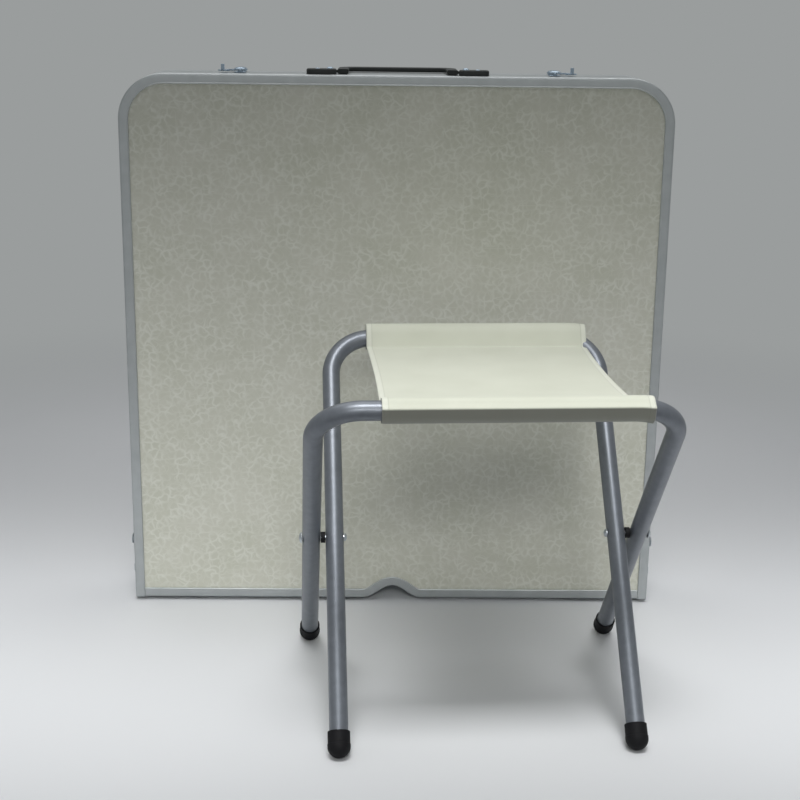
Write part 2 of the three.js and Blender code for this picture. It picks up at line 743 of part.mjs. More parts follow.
const stoolFoot = () => {
  const round = dome(stoolFootRadius, stoolFootRadius, 0, bendSteps).reverse();
  return turned([
    ...round.map(([radius, height]) => [radius, -height]),
    [stoolFootRadius, stoolFootLength - stoolFootRadius],
    [stoolTubeRadius + clearance, stoolFootLength - stoolFootRadius],
    [stoolTubeRadius + clearance, footEndWall - clearance],
    [0, footEndWall - clearance],
  ], stoolSides);
};
const frames = [
  {
    name: 'outer', lean: 1, spacing: outerLegSpacing, bend: outerBend,
    insets: [outerHemLeftInset, outerHemRightInset],
  },
  {
    name: 'inner', lean: -1, spacing: innerLegSpacing, bend: innerBend,
    insets: [innerHemLeftInset, innerHemRightInset],
  },
];
const tilted = {};
for (const { name, spacing, bend, lean } of frames) {
  const plane = new THREE.Group();
  plane.rotation.x = lean * stoolHalfAngle;
  stool.add(plane);
  tilted[name] = plane;
  addPiece(plane, `stool_${name}_frame`, stoolFrame(spacing, bend), tubeFinish);
  for (const [sideName, side] of sides) {
    const x = (side * spacing) / 2;
    addPiece(plane, `stool_${name}_foot_${sideName}`, stoolFoot(), rubberFinish, x, 0, -pivotToFoot);
  }
}
const outerFace = outerLegSpacing / 2 + stoolTubeRadius;
const outerInside = outerLegSpacing / 2 - stoolTubeRadius;
const innerOutside = innerLegSpacing / 2 + stoolTubeRadius;
const innerFace = innerLegSpacing / 2 - stoolTubeRadius;
for (const [name, side] of sides) {
  const headBase = outerFace + clearance;
  const nutBase = innerFace - clearance;
  const nut = dome(stoolNutRadius, stoolBoltHeadHeight, -nutBase).reverse();
  const bolt = turned([
    ...nut.map(([radius, height]) => [radius, -height]),
    [stoolBoltRadius, nutBase],
    [stoolBoltRadius, headBase],
    [stoolBoltHeadRadius, headBase],
    ...dome(stoolBoltHeadRadius, stoolBoltHeadHeight, headBase),
  ], tubeSides, 'x');
  if (side < 0) bolt.rotateZ(Math.PI);
  addPiece(tilted.outer, `stool_pivot_bolt_${name}`, bolt, steelFinish);
  const spacerHole = circle(stoolBoltRadius + clearance, tubeSides).reverse();
  const spacer = plate(circle(stoolSpacerRadius, tubeSides), innerOutside + clearance,
    outerInside - clearance, 'x', [spacerHole]);
  if (side < 0) spacer.rotateZ(Math.PI);
  addPiece(tilted.outer, `stool_spacer_${name}`, spacer, rubberFinish);
}

// Seat sling: a sagging sheet with a hem round each bar; the hem ends hang over the bends
const hemLength = ({ spacing, insets: [left, right] }) => spacing - left - right;
const hemShift = ({ insets: [left, right] }) => (left - right) / 2;
const hemX = (frame, station) => hemShift(frame) + hemLength(frame) * (station / slingSteps - 0.5);
const barDrop = (x, { spacing, bend }) => {
  const past = Math.max(Math.abs(x) - (spacing / 2 - bend), 0);
  return bend - Math.sqrt(bend ** 2 - past ** 2);
};
const hem = (frame) => {
  const place = (station, point) => {
    const x = hemX(frame, station);
    const follow = 1 - ((1 - hemTopFollowShare) * (1 + point.y / hemRadius)) / 2;
    return new THREE.Vector3(x, point.x, pivotToBar + point.y - barDrop(x, frame) * follow);
  };
  return loft(circle(hemRadius, stoolSides), [], slingSteps + 1, place).rotateX(frame.lean * stoolHalfAngle);
};
const hemBore = ({ spacing, bend, lean }) =>
  sweep(stoolPath(spacing, bend), circle(hemRadius - hemWall, stoolSides)).rotateX(lean * stoolHalfAngle);
const barY = pivotToBar * Math.sin(stoolHalfAngle);
const barZ = pivotToBar * Math.cos(stoolHalfAngle);
const sheetLine = Array.from({ length: slingSteps + 1 }, (_, i) => {
  const share = (2 * i) / slingSteps - 1;
  return point2(share * barY, barZ + hemRadius - slingSag * (1 - share ** 2));
});
const sheetOutline = [
  ...sheetLine.map((point) => point2(point.x, point.y - slingThickness)),
  ...[...sheetLine].reverse(),
];
const [outerFrame, innerFrame] = frames;
const sheet = loft(sheetOutline, [], slingSteps + 1, (station, point) => {
  const share = point.x / barY;
  const between = (measure) =>
    THREE.MathUtils.mapLinear(share, -1, 1, measure(outerFrame), measure(innerFrame));
  const width = between(hemLength) - 2 * slingSideDrawIn * (1 - share ** 2);
  const shift = between(hemShift);
  const x = shift + width * (station / slingSteps - 0.5);
  const nearest = share < 0 ? outerFrame : innerFrame;
  const drop = barDrop(hemX(nearest, station), nearest) * hemTopFollowShare * share ** 4;
  return new THREE.Vector3(x, point.x, point.y - drop);
});
addPiece(stool, 'seat_sling', cut(join(sheet, ...frames.map(hem)), ...frames.map(hemBore)), clothFinish);

// The origin is put under the middle of the set
const extent = new THREE.Box3().setFromObject(set, true);
const middle = extent.getCenter(new THREE.Vector3());
set.position.set(-middle.x, -middle.y, -extent.min.z);
set.updateMatrixWorld(true);

export default set;
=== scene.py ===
"""Looks of a folding picnic table, closed into its case, with an open folding stool in front."""

import math

import bmesh
import bpy
from mathutils import Matrix, Vector


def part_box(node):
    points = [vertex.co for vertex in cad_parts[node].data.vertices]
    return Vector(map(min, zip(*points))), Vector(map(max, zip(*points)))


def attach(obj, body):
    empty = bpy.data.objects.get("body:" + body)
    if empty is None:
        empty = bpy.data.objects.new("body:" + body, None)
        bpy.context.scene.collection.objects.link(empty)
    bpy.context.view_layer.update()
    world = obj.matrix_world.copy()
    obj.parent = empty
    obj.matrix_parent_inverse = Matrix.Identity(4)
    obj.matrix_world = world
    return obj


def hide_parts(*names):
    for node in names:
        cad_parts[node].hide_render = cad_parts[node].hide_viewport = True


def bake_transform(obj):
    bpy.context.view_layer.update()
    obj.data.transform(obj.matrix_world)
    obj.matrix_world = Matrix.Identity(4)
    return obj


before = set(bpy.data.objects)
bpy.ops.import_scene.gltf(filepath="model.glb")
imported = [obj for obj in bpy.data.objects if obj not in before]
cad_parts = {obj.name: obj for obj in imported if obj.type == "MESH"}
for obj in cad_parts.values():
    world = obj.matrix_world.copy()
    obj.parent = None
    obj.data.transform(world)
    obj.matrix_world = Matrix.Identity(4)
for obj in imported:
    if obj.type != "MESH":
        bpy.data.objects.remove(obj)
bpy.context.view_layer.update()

# Sizes in millimetres and shares, the same as in the CAD source
MM = 0.001
BOARD_WIDTH = 600
BOARD_HEIGHT = 600
TRAY_DEPTH = 35
CORNER_RADIUS = 50
GAP = 0.3
RAIL_WALL = 1.5
LIP_WIDTH = 11
SEAT_LIP_WIDTH = 9
EDGE_FLANGE = 8
CENTRE_FLANGE = 16
PANEL_THICKNESS = 4
NOTCH_WIDTH = 66
NOTCH_DEPTH = 15
BARREL_RADIUS = 4
HINGE_STANDOFF = 0.2
LEAF_THICKNESS = 1.2
LEAF_LENGTH = 88
HINGE_INSET = 48

HANDLE_ARM = 59
HANDLE_REACH = 50
HANDLE_SETBACK = 13
HANDLE_THICKNESS = 5
HANDLE_WIDTH = 12
HANDLE_CORNER = 14
HANDLE_ROUND_SHARE = 0.4
HANDLE_PIN_RADIUS = 1.5
HANDLE_PIN_LENGTH = 8
HANDLE_END = 2
HANDLE_RISE = 3
HANDLE_SIDE_GAP = 0.9
MOUNT_LENGTH = 32
MOUNT_WIDTH = 18
MOUNT_HEIGHT = 5.6
MOUNT_CORNER = 5
CAP_RADIUS = 3.5
CAP_HEIGHT = 2.2
CAP_INSET = 7
SCREW_RADIUS = 2.4
SCREW_HEIGHT = 0.9
SCREW_INSET = 20
BOSS_DOME = 1.8

LATCH_INSET = 130
STUD_SETBACK = 12
STUD_RADIUS = 6.5
STUD_BASE = 1
STUD_NECK_RADIUS = 2.2
STUD_HEAD = 2.4
HOOK_THICKNESS = 1.5
HOOK_HALF_WIDTH = 6
HOOK_BOSS_RADIUS = 5
HOOK_TAB_HEIGHT = 7.5
HOOK_TAB_WIDTH = 4
HOOK_PAST_STUD = 9
HOOK_RUN_GAP = 0.4
HOOK_SWING = math.radians(35)
SLOT_PLAY = 1.3

BOLT_WIDTH = 9
BOLT_THICKNESS = 1
BOLT_FOOT = 13
BOLT_LENGTH = 62
KNOB_RADIUS = 6
KNOB_HEIGHT = 4.2
KNOB_BELOW_TOP = 9
KNOB_NECK_SHARE = 0.7
KNOB_NECK_HEIGHT_SHARE = 0.4
KNOB_RIM_HEIGHT_SHARE = 0.6

LEG_DROP = 33.2
LEG_INSET = {"front": 37, "rear": 67}
LEG_RADIUS = 10
LEG_WALL = 1.2
LEG_TUBE_LENGTH = 300
LEG_TOP_OVERHANG = 6.5
LEG_SETBACK = 14.5
CROSSBAR_FROM_TUBE_END = 23.5
CROSSBAR_RADIUS = 8
INNER_LEG_RADIUS = 8.5
INNER_LEG_START = 125
LEG_REACH = 420
FOOT_LENGTH = 22
FOOT_END_WALL = 4
STAY_ON_LEG = 150
LINK_THICKNESS = 2
LINK_PIN_RADIUS = 2.5

STOOL_X = 80
STOOL_GAP = 227
STOOL_YAW = math.radians(3.5)
STOOL_HALF_ANGLE = math.radians(39.4)
STOOL_TUBE = 9
STOOL_WALL = 1
OUTER_SPACING = 328
FRAME_GAP = 5
BEND = {"outer": 43, "inner": 42}
TO_BAR = 219
TO_FOOT = 205
STOOL_FOOT_RADIUS = 11
STOOL_FOOT_LENGTH = 25
STOOL_FOOT_FLOOR = 4
STOOL_BOLT_RADIUS = 2.5
BOLT_HEAD_RADIUS = 5.5
BOLT_HEAD_HEIGHT = 3
NUT_RADIUS = 4.2
SPACER_RADIUS = 5.5
HEM_LEFT_INSET = {"outer": 58.5, "inner": 37}
HEM_RIGHT_INSET = {"outer": 28.5, "inner": 12}

# Sizes in millimetres that only the scene has, or that it gives otherwise than the coarser CAD source
BEAD_WIDTH = 1.6
BEAD_HEIGHT = 0.4
RAIL_ROUND = 2.4
POCKET_OVERRUN = 2
MOUNT_EDGE = ((0, 1.4), (0.4, 0.5), (1.3, 0))
RIVET_ROOT = 1
STUD_EDGE = 0.3
MOULDED_EDGE = 0.5
SHEET_EDGE = 0.25
ROD_EDGE = 0.3
LEG_FOOT_EDGE = 0.6
LEG_FOOT_ROUND = 2
FOOT_BAND_START = 2
FOOT_BAND_END = 2.5
FOOT_BAND_DEPTH = 0.35
FOOT_MOUTH_EDGE = 0.6
FOOT_MOUTH_INSET = 0.8

HEM_RADIUS = 10.6
SLING_SAG = 4
SEAM_FROM_BAR = 15
SEAM_BELOW_BAR = 7
SLEEVE_SLACK = {"outer": 0, "inner": 4}
CREASE_FROM_BAR = 12.6
CREASE_ABOVE_BAR = 4.5
SLING_DRAW_IN = 3
SLING_THICKNESS = 1.1
SELVEDGE = 6
SELVEDGE_FADE = 0.4
STITCH_HALF_WIDTH = 0.3
STITCH_FADE = 0.5
# Millimetres over which the painted shade under each folded edge fades in
FOLD_SHADE_FADE = 0.8
RIPPLE_HEIGHT = 0.5
RIPPLE_LENGTH = 17
RIPPLE_DRIFT = 2.4
RIPPLE_MIDDLE_SHARE = 0.4
TIP_RADIUS = 0.001
WELD = 0.002

# Counts of steps round curves and along the cloth
BEAD_STEPS = 6
RAIL_ROUND_STEPS = 5
CORNER_STEPS = 24
NOTCH_STEPS = 40
HANDLE_STEPS = 14
SLOT_STEPS = 14
END_STEPS = 16
FOOT_STEPS = 12
ROD_SIDES = 32
ROUND_SIDES = 40
SLING_STEPS = 30
ACROSS_STEPS = 36

# Angles in degrees beyond which an edge between faces stays sharp
RAIL_SHARP = 28
PLAIN_SHARP = 32
MOUNT_SHARP = 50
BEVEL_FROM = 40

QUARTER = math.pi / 2
SIDES = (("left", -1), ("right", 1))
HALF_WIDTH = BOARD_WIDTH / 2
BOTTOM = BARREL_RADIUS + HINGE_STANDOFF
TOP = BOTTOM + BOARD_HEIGHT
LEAF_GAP = GAP / 2
RIM = -(LEAF_GAP + LEAF_THICKNESS + GAP)
RAIL_DEPTH = TRAY_DEPTH + RIM
SEAT_LIP = RAIL_WALL + GAP + PANEL_THICKNESS + GAP
HINGE_OFFSET = HALF_WIDTH - HINGE_INSET
LATCH_OFFSET = HALF_WIDTH - LATCH_INSET
LEG_OFFSET = {half: HALF_WIDTH - inset for half, inset in LEG_INSET.items()}
CROSSBAR_DROP = LEG_TUBE_LENGTH - LEG_TOP_OVERHANG - CROSSBAR_FROM_TUBE_END
INNER_LEG_END = LEG_REACH - FOOT_END_WALL
SPACING = {"outer": OUTER_SPACING, "inner": OUTER_SPACING - 2 * (2 * STOOL_TUBE + FRAME_GAP)}
HEM_LENGTH = {kind: SPACING[kind] - HEM_LEFT_INSET[kind] - HEM_RIGHT_INSET[kind] for kind in SPACING}
HEM_SHIFT = {kind: (HEM_LEFT_INSET[kind] - HEM_RIGHT_INSET[kind]) / 2 for kind in SPACING}

# Places: millimetres of each local frame to metres of the row frame
parting = (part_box("front_panel")[0].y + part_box("rear_panel")[1].y) / 2
CASE = Matrix.Translation((0, parting, 0)) @ Matrix.Scale(MM, 4)
TRAY = {"front": CASE, "rear": CASE @ Matrix.Rotation(math.pi, 4, "Z")}
pivot_level = STOOL_FOOT_RADIUS + TO_FOOT * math.cos(STOOL_HALF_ANGLE)
STOOL = (CASE @ Matrix.Translation((STOOL_X, -(TRAY_DEPTH + STOOL_GAP), pivot_level))
         @ Matrix.Rotation(STOOL_YAW, 4, "Z"))
FRAMES = {"outer": STOOL @ Matrix.Rotation(STOOL_HALF_ANGLE, 4, "X"),
          "inner": STOOL @ Matrix.Rotation(-STOOL_HALF_ANGLE, 4, "X")}


# Seat sling's line across both bars, wrapped round each and sewn back to itself inside
bar_y = TO_BAR * math.sin(STOOL_HALF_ANGLE)
bar_z = TO_BAR * math.cos(STOOL_HALF_ANGLE)
SEAM = (-SEAM_FROM_BAR, -SEAM_BELOW_BAR)
CREASE = (CREASE_FROM_BAR, CREASE_ABOVE_BAR)
# Degrees from straight up, over the bar and below it
OVER_ANGLES = range(-64, 49, 8)
UNDER_ANGLES = range(96, 196, 9)
# Where extra points lie on the straight stretches between two places
SEAM_TO_TOP_SHARES = (0.06, 0.35, 0.7)
TOP_TO_CREASE_SHARES = (0.35, 0.7, 0.92)
CREASE_TO_UNDER_SHARES = (0.06, 0.3, 0.7)
UNDER_TO_SEAM_SHARES = (0.4, 0.75)
# How much of the bar's drop at its bends the cloth follows
OVER_FOLLOW_SHARE = 0.12
CREASE_FOLLOW_SHARE = 0.4


def between(first, last, shares):
    return [(first[0] + (last[0] - first[0]) * t, first[1] + (last[1] - first[1]) * t) for t in shares]


def sleeve(kind):
    """The sleeve's line round a bar: from the seam over the top to the folded edge, and back below.

    Gives distances from the bar outwards and upwards, and the share of the bar's drop that is followed."""
    over, under = [], []
    for angle in map(math.radians, OVER_ANGLES):
        height = HEM_RADIUS + SLEEVE_SLACK[kind] * math.cos(angle)
        over.append((HEM_RADIUS * math.sin(angle), height * math.cos(angle)))
    for angle in map(math.radians, UNDER_ANGLES):
        under.append((HEM_RADIUS * math.sin(angle), HEM_RADIUS * math.cos(angle)))
    first = [SEAM, *between(SEAM, over[0], SEAM_TO_TOP_SHARES), *over]
    folded = [*between(over[-1], CREASE, TOP_TO_CREASE_SHARES), CREASE,
              *between(CREASE, under[0], CREASE_TO_UNDER_SHARES)]
    last = [*under, *between(under[-1], SEAM, UNDER_TO_SEAM_SHARES)]
    stretches = ((first, OVER_FOLLOW_SHARE), (folded, CREASE_FOLLOW_SHARE), (last, 1))
    return [(out, up, follows) for line, follows in stretches for out, up in line]


def sling_rows():
    """Cross-lines of the sling as (y, z, share along the sheet, share of the bar's drop)."""
    rows = []
    for out, up, follows in reversed(sleeve("outer")):
        rows.append((-bar_y - out, bar_z + up, -1, follows))
    for i in range(1, SLING_STEPS):
        share = 2 * i / SLING_STEPS - 1
        level = bar_z - SEAM_BELOW_BAR - SLING_SAG * (1 - share ** 2)
        rows.append((share * (bar_y - SEAM_FROM_BAR), level, share, OVER_FOLLOW_SHARE * share ** 4))
    for out, up, follows in sleeve("inner"):
        rows.append((bar_y + out, bar_z + up, 1, follows))
    return rows


def lengths_along(rows):
    found = [0]
    for before, row in zip(rows, rows[1:]):
        found.append(found[-1] + math.hypot(row[0] - before[0], row[1] - before[1]))
    return found


sling_line = sling_rows()
sling_lengths = lengths_along(sling_line)
folded_edges = [length for (y, *_), length in zip(sling_line, sling_lengths)
                if math.isclose(abs(y), bar_y + CREASE_FROM_BAR)]
FOLD_MIDDLE = sum(folded_edges) / 2
FOLD_REACH = (folded_edges[1] - folded_edges[0]) / 2


# Materials
def linear(color):
    """Colour as seen, 0 to 255, to the linear colour of a shader socket."""
    def channel(value):
        value /= 255
        return value / 12.92 if value <= 0.04045 else ((value + 0.055) / 1.055) ** 2.4
    return (*(channel(value) for value in color), 1)


class Finish:
    """A Principled material and short calls that add procedural nodes to it."""

    def __init__(self, name, roughness, metallic=0, **sockets):
        self.material = bpy.data.materials.new(name)
        self.material.use_nodes = True
        self.tree = self.material.node_tree
        self.shader = self.tree.nodes["Principled BSDF"]
        self.put(self.shader, Roughness=roughness, Metallic=metallic, **sockets)
        self.place = self.add("ShaderNodeTexCoord").outputs["Object"]

    def feed(self, socket, value):
        """Links another socket to this one, or sets its value."""
        if isinstance(value, bpy.types.NodeSocket):
            self.tree.links.new(value, socket)
        else:
            socket.default_value = value

    def put(self, node, **sockets):
        for name, value in sockets.items():
            self.feed(node.inputs[name.replace("_", " ")], value)

    def add(self, kind, settings=None, **sockets):
        node = self.tree.nodes.new(kind)
        for name, value in (settings or {}).items():
            setattr(node, name, value)
        self.put(node, **sockets)
        return node

    def noise(self, scale, detail, roughness=0.5, place=None):
        return self.add("ShaderNodeTexNoise", Vector=place or self.place, Scale=scale, Detail=detail,
                        Roughness=roughness).outputs[0]

    def range(self, value, low, high, to_low, to_high):
        node = self.add("ShaderNodeMapRange", Value=value)
        for socket, number in zip(node.inputs[1:5], (low, high, to_low, to_high)):
            self.feed(socket, number)
        return node.outputs[0]

    def math(self, operation, *values):
        node = self.add("ShaderNodeMath", {"operation": operation})
        for socket, value in zip(node.inputs, values):
            self.feed(socket, value)
        return node.outputs[0]

    def apart(self, value, middle):
        """How far a value lies from a middle one, on either side."""
        return self.math("ABSOLUTE", self.math("SUBTRACT", value, middle))

    def mix(self, share, first, second):
        """A colour between two, each a socket or a colour as seen."""
        node = self.add("ShaderNodeMix", {"data_type": "RGBA"})
        self.feed(node.inputs[0], share)
        for socket, color in ((node.inputs[6], first), (node.inputs[7], second)):
            self.feed(socket, linear(color) if isinstance(color, tuple) else color)
        return node.outputs[2]

    def bump(self, height, distance, strength=1.0):
        bump = self.add("ShaderNodeBump", Height=height, Strength=strength, Distance=distance)
        self.put(self.shader, Normal=bump.outputs[0])

    def done(self, color):
        self.put(self.shader, Base_Color=color)
        return self.material


def worked(name, dark, light, rough, scale, metallic=0, **sockets):
    """A worked surface: colour and gloss drift with a coarse noise, and a fine grain stands proud."""
    made = Finish(name, rough, metallic, **sockets)
    drift = made.noise(scale / 12, 2)
    grain = made.noise(scale, 4, 0.65)
    both = made.math("ADD", made.math("MULTIPLY", drift, 0.6), made.math("MULTIPLY", grain, 0.4))
    made.bump(grain, 0.00002)
    made.put(made.shader, Roughness=made.range(grain, 0.3, 0.7, rough * 0.88, rough * 1.15))
    return made.done(made.mix(made.range(both, 0.3, 0.7, 0, 1), dark, light))


def board_finish():
    """Cream-grey laminate with a pale crackle: curved, broken lines round small cells."""
    made = Finish("crackle_laminate", 0.42)
    split = made.add("ShaderNodeSeparateXYZ", Vector=made.place)
    flat = made.add("ShaderNodeCombineXYZ", X=split.outputs[0], Y=split.outputs[2]).outputs[0]
    wander = made.add("ShaderNodeTexNoise", Vector=flat, Scale=120, Detail=1)
    bent = made.add("ShaderNodeVectorMath", {"operation": "MULTIPLY_ADD"})
    for socket, value in zip(bent.inputs, (wander.outputs[1], (0.011, 0.011, 0), flat)):
        made.feed(socket, value)
    cells = made.add("ShaderNodeTexVoronoi", {"voronoi_dimensions": "2D", "feature": "DISTANCE_TO_EDGE"},
                     Vector=bent.outputs[0], Scale=112)
    nets = made.range(cells.outputs[0], 0, 0.24, 1, 0)
    worms = made.range(made.apart(made.noise(105, 0, place=flat), 0.5), 0.004, 0.028, 1, 0)
    broken = made.range(made.noise(60, 2, place=flat), 0.36, 0.6, 0.15, 1)
    crackle = made.math("MAXIMUM", made.math("MULTIPLY", nets, broken), made.math("MULTIPLY", worms, 0.55))
    cloudy = made.range(made.noise(14, 4, place=flat), 0.35, 0.65, 0, 1)
    ground = made.mix(cloudy, (199, 200, 185), (206, 206, 193))
    made.bump(crackle, 0.00003, 0.5)
    return made.done(made.mix(crackle, ground, (218, 219, 208)))


def cloth_finish():
    """Ivory coated canvas: a fine plain weave, faint creases, sheen and a stitched hem at the sides.

    Beyond the folded edges, the sleeves' turned-under parts are painted a darker grey: painted shade for the
    band that faces down under each bar."""
    made = Finish("canvas", 0.62, Sheen_Weight=0.25, Sheen_Roughness=0.5)
    weave = made.add("ShaderNodeTexCoord").outputs["UV"]
    threads = [made.add("ShaderNodeTexWave", {"bands_direction": axis}, Vector=weave, Scale=300,
                        Distortion=0.4).outputs[1] for axis in ("X", "Y")]
    cloth = made.math("MULTIPLY", *threads)
    soft = made.noise(18, 3)
    from_edge = made.add("ShaderNodeAttribute", {"attribute_name": "from_edge"}).outputs["Fac"]
    selvedge = made.range(from_edge, SELVEDGE - SELVEDGE_FADE, SELVEDGE, 1, 0)
    stitches = made.range(made.apart(from_edge, SELVEDGE), STITCH_HALF_WIDTH,
                          STITCH_HALF_WIDTH + STITCH_FADE, 0.5, 0)
    relief = made.math("ADD", made.math("MULTIPLY", cloth, 0.25), made.math("MULTIPLY", selvedge, 0.6))
    made.bump(made.math("ADD", relief, soft), 0.0004, 0.6)
    tint = made.mix(made.range(soft, 0.3, 0.7, 0, 1), (200, 203, 186), (208, 211, 195))
    face = made.mix(made.range(cloth, 0, 1, 0, 0.35), tint, (226, 228, 214))
    face = made.mix(made.math("MULTIPLY", selvedge, 0.4), face, (226, 228, 216))
    face = made.mix(stitches, face, (184, 187, 171))
    # Painted shade: the sleeve's band below each folded edge, found by its distance along the cloth, is
    # darkened to grey to stand in for the shade it lies in
    along = made.add("ShaderNodeSeparateXYZ", Vector=weave).outputs[1]
    from_middle = made.apart(along, FOLD_MIDDLE * MM)
    painted_underside_shade = made.range(from_middle, FOLD_REACH * MM, (FOLD_REACH + FOLD_SHADE_FADE) * MM, 0, 1)
    return made.done(made.mix(painted_underside_shade, face, made.mix(soft, (128, 129, 118), (138, 139, 128))))


board = board_finish()
canvas = cloth_finish()
anodised = worked("anodised_aluminium", (176, 180, 181), (188, 192, 193), 0.46, 900, metallic=0.9)
zinc_plate = worked("zinc_plate", (170, 176, 182), (196, 202, 206), 0.3, 700, metallic=0.9)
blue_zinc = worked("blue_zinc", (160, 176, 192), (190, 206, 220), 0.28, 500, metallic=0.85)
tube_paint = worked("silver_paint", (108, 113, 120), (121, 126, 133), 0.4, 1500, metallic=0.55,
                    Coat_Weight=0.2, Coat_Roughness=0.3)
rubber = worked("moulded_rubber", (12, 12, 14), (19, 19, 22), 0.65, 1200, Specular_IOR_Level=0.2)
handle_plastic = worked("dark_plastic", (46, 49, 48), (58, 61, 60), 0.5, 1600,
                        Specular_IOR_Level=0.3)


# Shapes: each gives points in millimetres and faces
def on_axis(axis, u, v, level):
    """A point at a level along the named axis, with u and v along the other two."""
    return {"x": (level, u, v), "y": (u, level, v), "z": (u, v, level)}[axis]


def arc(x, y, radius, start, end, steps):
    return [(x + radius * math.cos(start + (end - start) * i / steps),
             y + radius * math.sin(start + (end - start) * i / steps)) for i in range(steps + 1)]


def circle(radius, sides, x=0, y=0):
    return arc(x, y, radius, 0, 2 * math.pi, sides)[:-1]


def rounded(width, height, radius, x=0, y=0, steps=6):
    points = []
    for i, (sx, sy) in enumerate(((1, 1), (-1, 1), (-1, -1), (1, -1))):
        points += arc(x + sx * (width / 2 - radius), y + sy * (height / 2 - radius), radius,
                      i * QUARTER, (i + 1) * QUARTER, steps)
    return points


def bent_round(half, far, radius, steps):
    """The two rounded corners of a bow that reaches from one side to the other."""
    return [*arc(-half + radius, far - radius, radius, 2 * QUARTER, QUARTER, steps),
            *arc(half - radius, far - radius, radius, QUARTER, 0, steps)]


def sideways(path):
    """Mitred directions to the right of a line of points."""
    found = []
    for i, (x, y) in enumerate(path):
        before, after = path[max(i - 1, 0)], path[min(i + 1, len(path) - 1)]
        into = Vector((x - before[0], y - before[1]))
        out = Vector((after[0] - x, after[1] - y))
        first = (into if into.length else out).normalized()
        second = (out if out.length else into).normalized()
        across = Vector((first.y + second.y, -first.x - second.x)).normalized()
        found.append(across / across.dot(Vector((second.y, -second.x))))
    return found


def loft(rings, caps=True):
    """Joins rings of equal length; the faces follow the rings' order."""
    size = len(rings[0])
    points = [tuple(point) for ring in rings for point in ring]
    faces = []
    for station in range(len(rings) - 1):
        for i in range(size):
            a, b = station * size + i, station * size + (i + 1) % size
            faces.append((a, b, b + size, a + size))
    if caps:
        faces.append(tuple(reversed(range(size))))
        faces.append(tuple(range((len(rings) - 1) * size, len(rings) * size)))
    return points, faces


def hollow(outer, inner):
    """Outer and inner rings, joined at both ends."""
    size, count = len(outer[0]), len(outer)
    points, faces = loft(outer, caps=False)
    more, back = loft(inner, caps=False)
    base = len(points)
    points += more
    faces += [tuple(base + i for i in reversed(face)) for face in back]
    last = (count - 1) * size
    for i in range(size):
        j = (i + 1) % size
        faces.append((j, i, base + i, base + j))
        faces.append((last + i, last + j, base + last + j, base + last + i))
    return points, faces


def swept(path, section):
    """A section along a path in the XZ plane, with its second axis along +Y."""
    across = sideways(path)
    return loft([[(x + s.x * u, v, z + s.y * u) for u, v in section]
                 for (x, z), s in zip(path, across)])


def tube(path, radius, wall):
    """A round tube along a path in the XZ plane, open at both ends."""
    across = sideways(path)
    sections = [circle(r, ROUND_SIDES) for r in (radius, radius - wall)]
    return hollow(*([[(x + s.x * u, v, z + s.y * u) for u, v in section]
                     for (x, z), s in zip(path, across)] for section in sections))


def plate(outline, low, high, axis):
    """An outline between two levels across the named axis."""
    return loft([[on_axis(axis, u, v, level) for u, v in outline] for level in (low, high)])


def rod(radius, start, end, axis, u=0, v=0):
    """A round bar between two levels in either order, with its ends broken by a small edge."""
    low, high = min(start, end), max(start, end)
    rings = [(radius - ROD_EDGE, low), (radius, low + ROD_EDGE),
             (radius, high - ROD_EDGE), (radius - ROD_EDGE, high)]
    return loft([[on_axis(axis, a, b, level) for a, b in circle(r, ROD_SIDES, u, v)] for r, level in rings])


def turned(profile, axis="z"):
    """Radius and height pairs turned round an axis; ends at radius 0 close to a point when welded."""
    rings = [(circle(max(radius, TIP_RADIUS), ROUND_SIDES), height) for radius, height in profile]
    return loft([[on_axis(axis, u, v, height) for u, v in ring] for ring, height in rings])


def dome(radius, height, base, steps=8):
    return [(radius * math.cos(QUARTER * i / steps), base + height * math.sin(QUARTER * i / steps))
            for i in range(steps + 1)]


def moved(shape, x=0, y=0, z=0, mirror=1):
    """A shape at another place; mirror -1 first turns it half round."""
    points, faces = shape
    return [(mirror * px + x, mirror * py + y, pz + z) for px, py, pz in points], faces


def together(*shapes):
    points, faces = [], []
    for more, corners in shapes:
        base = len(points)
        points += more
        faces += [tuple(base + i for i in face) for face in corners]
    return points, faces


def solid_mesh(name, shape, place, weld=0):
    """A mesh of a shape given in a local frame, with its faces turned outwards."""
    points, faces = shape
    mesh = bpy.data.meshes.new(name)
    mesh.from_pydata([place @ Vector(point) for point in points], [], faces)
    build = bmesh.new()
    build.from_mesh(mesh)
    if weld:
        bmesh.ops.remove_doubles(build, verts=build.verts, dist=weld)
    bmesh.ops.recalc_face_normals(build, faces=build.faces)
    build.to_mesh(mesh)
    build.free()
    return mesh


def placed(name, data):
    made = bpy.data.objects.new(name, data)
    bpy.context.collection.objects.link(made)
    return made


def frozen(target):
    """Turns what a piece's modifiers make into its own mesh."""
    bpy.context.view_layer.update()
    result = bpy.data.meshes.new_from_object(target.evaluated_get(bpy.context.evaluated_depsgraph_get()))
    target.modifiers.clear()
    target.data = result
    result.name = target.name


def piece(name, shape, place, material, body, stands_for, bevel=0, sharp=PLAIN_SHARP):
    """Makes a mesh from a shape, seats it in its local frame and lets it ride on its body."""
    mesh = solid_mesh(name, shape, place, weld=WELD * MM)
    mesh.shade_smooth()
    mesh.set_sharp_from_angle(angle=math.radians(sharp))
    mesh.materials.append(material)
    made = placed(name, mesh)
    if bevel:
        edge = made.modifiers.new("edge", "BEVEL")
        edge.width = bevel * MM
        edge.segments = 2
        edge.limit_method = "ANGLE"
        edge.angle_limit = math.radians(BEVEL_FROM)
        edge.harden_normals = True
    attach(made, body)
    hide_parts(stands_for)
    return made


def dressed(material, *nodes):
    """Gives CAD nodes that stay in view their material."""
    for node in nodes:
        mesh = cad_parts[node].data
        mesh.materials.clear()
        mesh.materials.append(material)


